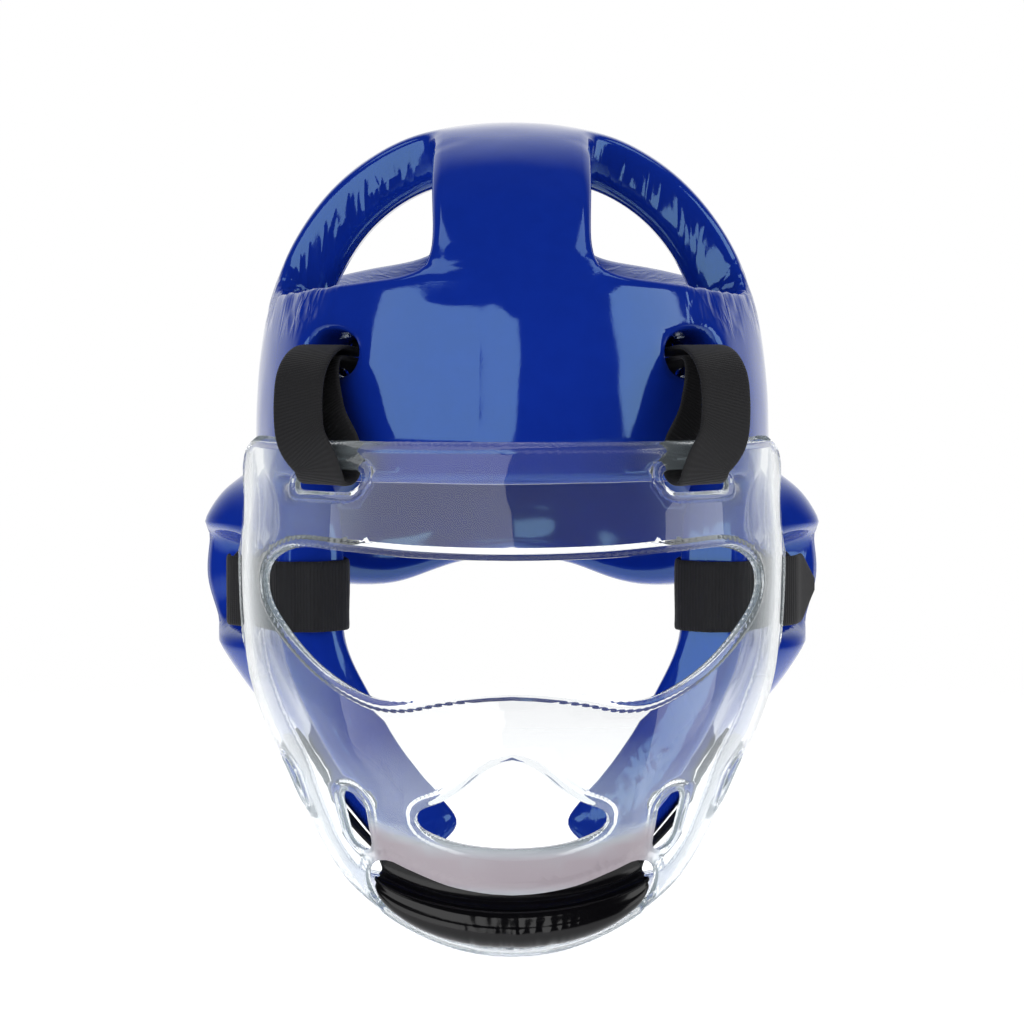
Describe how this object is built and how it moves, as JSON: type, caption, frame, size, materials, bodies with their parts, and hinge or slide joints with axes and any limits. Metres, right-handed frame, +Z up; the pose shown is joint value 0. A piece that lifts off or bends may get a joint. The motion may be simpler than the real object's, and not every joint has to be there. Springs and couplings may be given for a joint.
{
  "type": "foam sparring headgear with clear face shield",
  "caption": "Vinyl-dipped foam sparring headgear, blue, with a clear moulded face shield on black elastic straps, a black chin pad and a chin strap.",
  "frame": {"origin": "the point of the inner crown that rests on the top of the head", "axes": "+Z up, the face looks along -Y, +X is the wearer's left"},
  "size_m": [0.2378, 0.2661, 0.3012],
  "materials": {
    "blue_vinyl": "glossy dipped vinyl over foam",
    "clear_plastic": "clear moulded polycarbonate",
    "black_vinyl": "glossy vinyl over foam",
    "black_elastic": "ribbed woven elastic",
    "black_webbing": "woven webbing"
  },
  "bodies": {
    "root": {"foam_shell": "blue_vinyl", "face_shield": "clear_plastic", "chin_pad": "black_vinyl", "brow_strap_left": "black_elastic", "brow_strap_right": "black_elastic", "temple_strap_left": "black_elastic", "temple_strap_right": "black_elastic", "chin_strap": "black_webbing"}
  },
  "joints": []
}
